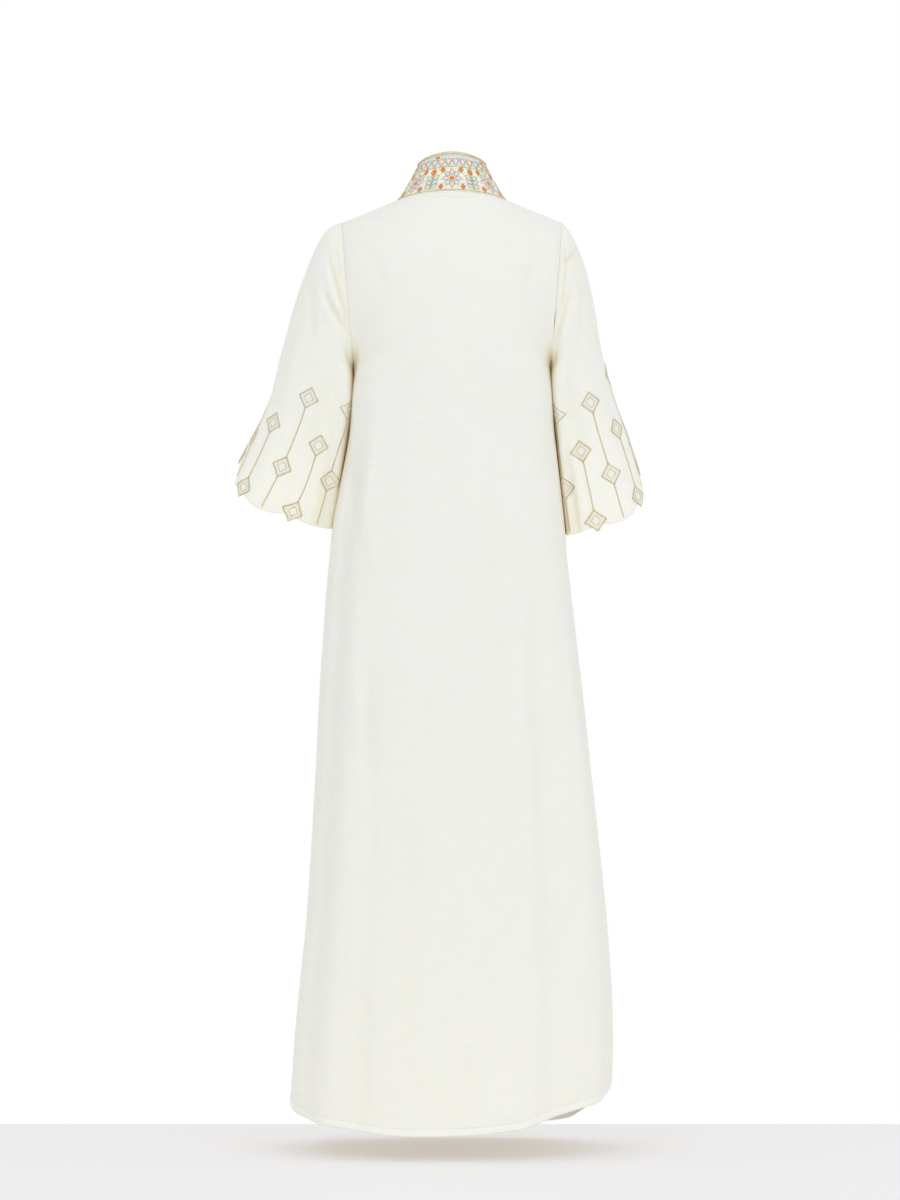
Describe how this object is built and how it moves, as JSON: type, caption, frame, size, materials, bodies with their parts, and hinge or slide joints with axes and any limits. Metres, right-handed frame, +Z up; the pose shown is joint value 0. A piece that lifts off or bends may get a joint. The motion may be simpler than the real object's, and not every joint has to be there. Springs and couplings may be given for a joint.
{
  "type": "jalabiya",
  "caption": "Full-length A-line gown with scalloped three-quarter bell sleeves and a tall embroidered stand collar, as a hollow worn form.",
  "frame": {"origin": "middle of the neck opening, level with the neck ends of the shoulder seams, where the wearer's neck comes through", "axes": "+Z up; +Y out of the gown's back and -Y out of its front; +X towards the wearer's left sleeve"},
  "size_m": [0.6501, 0.3656, 1.5453],
  "materials": {
    "ivory_cloth": "slubbed linen weave",
    "embroidered_cloth": "ivory cloth worked all over in coloured thread",
    "beaded_edge": "rolled edge sewn with gold beads"
  },
  "bodies": {
    "root": {"back_panel": "ivory_cloth", "front_panel": "ivory_cloth", "sleeve_left": "ivory_cloth", "sleeve_right": "ivory_cloth", "collar": "embroidered_cloth", "collar_edge": "beaded_edge"}
  },
  "joints": []
}
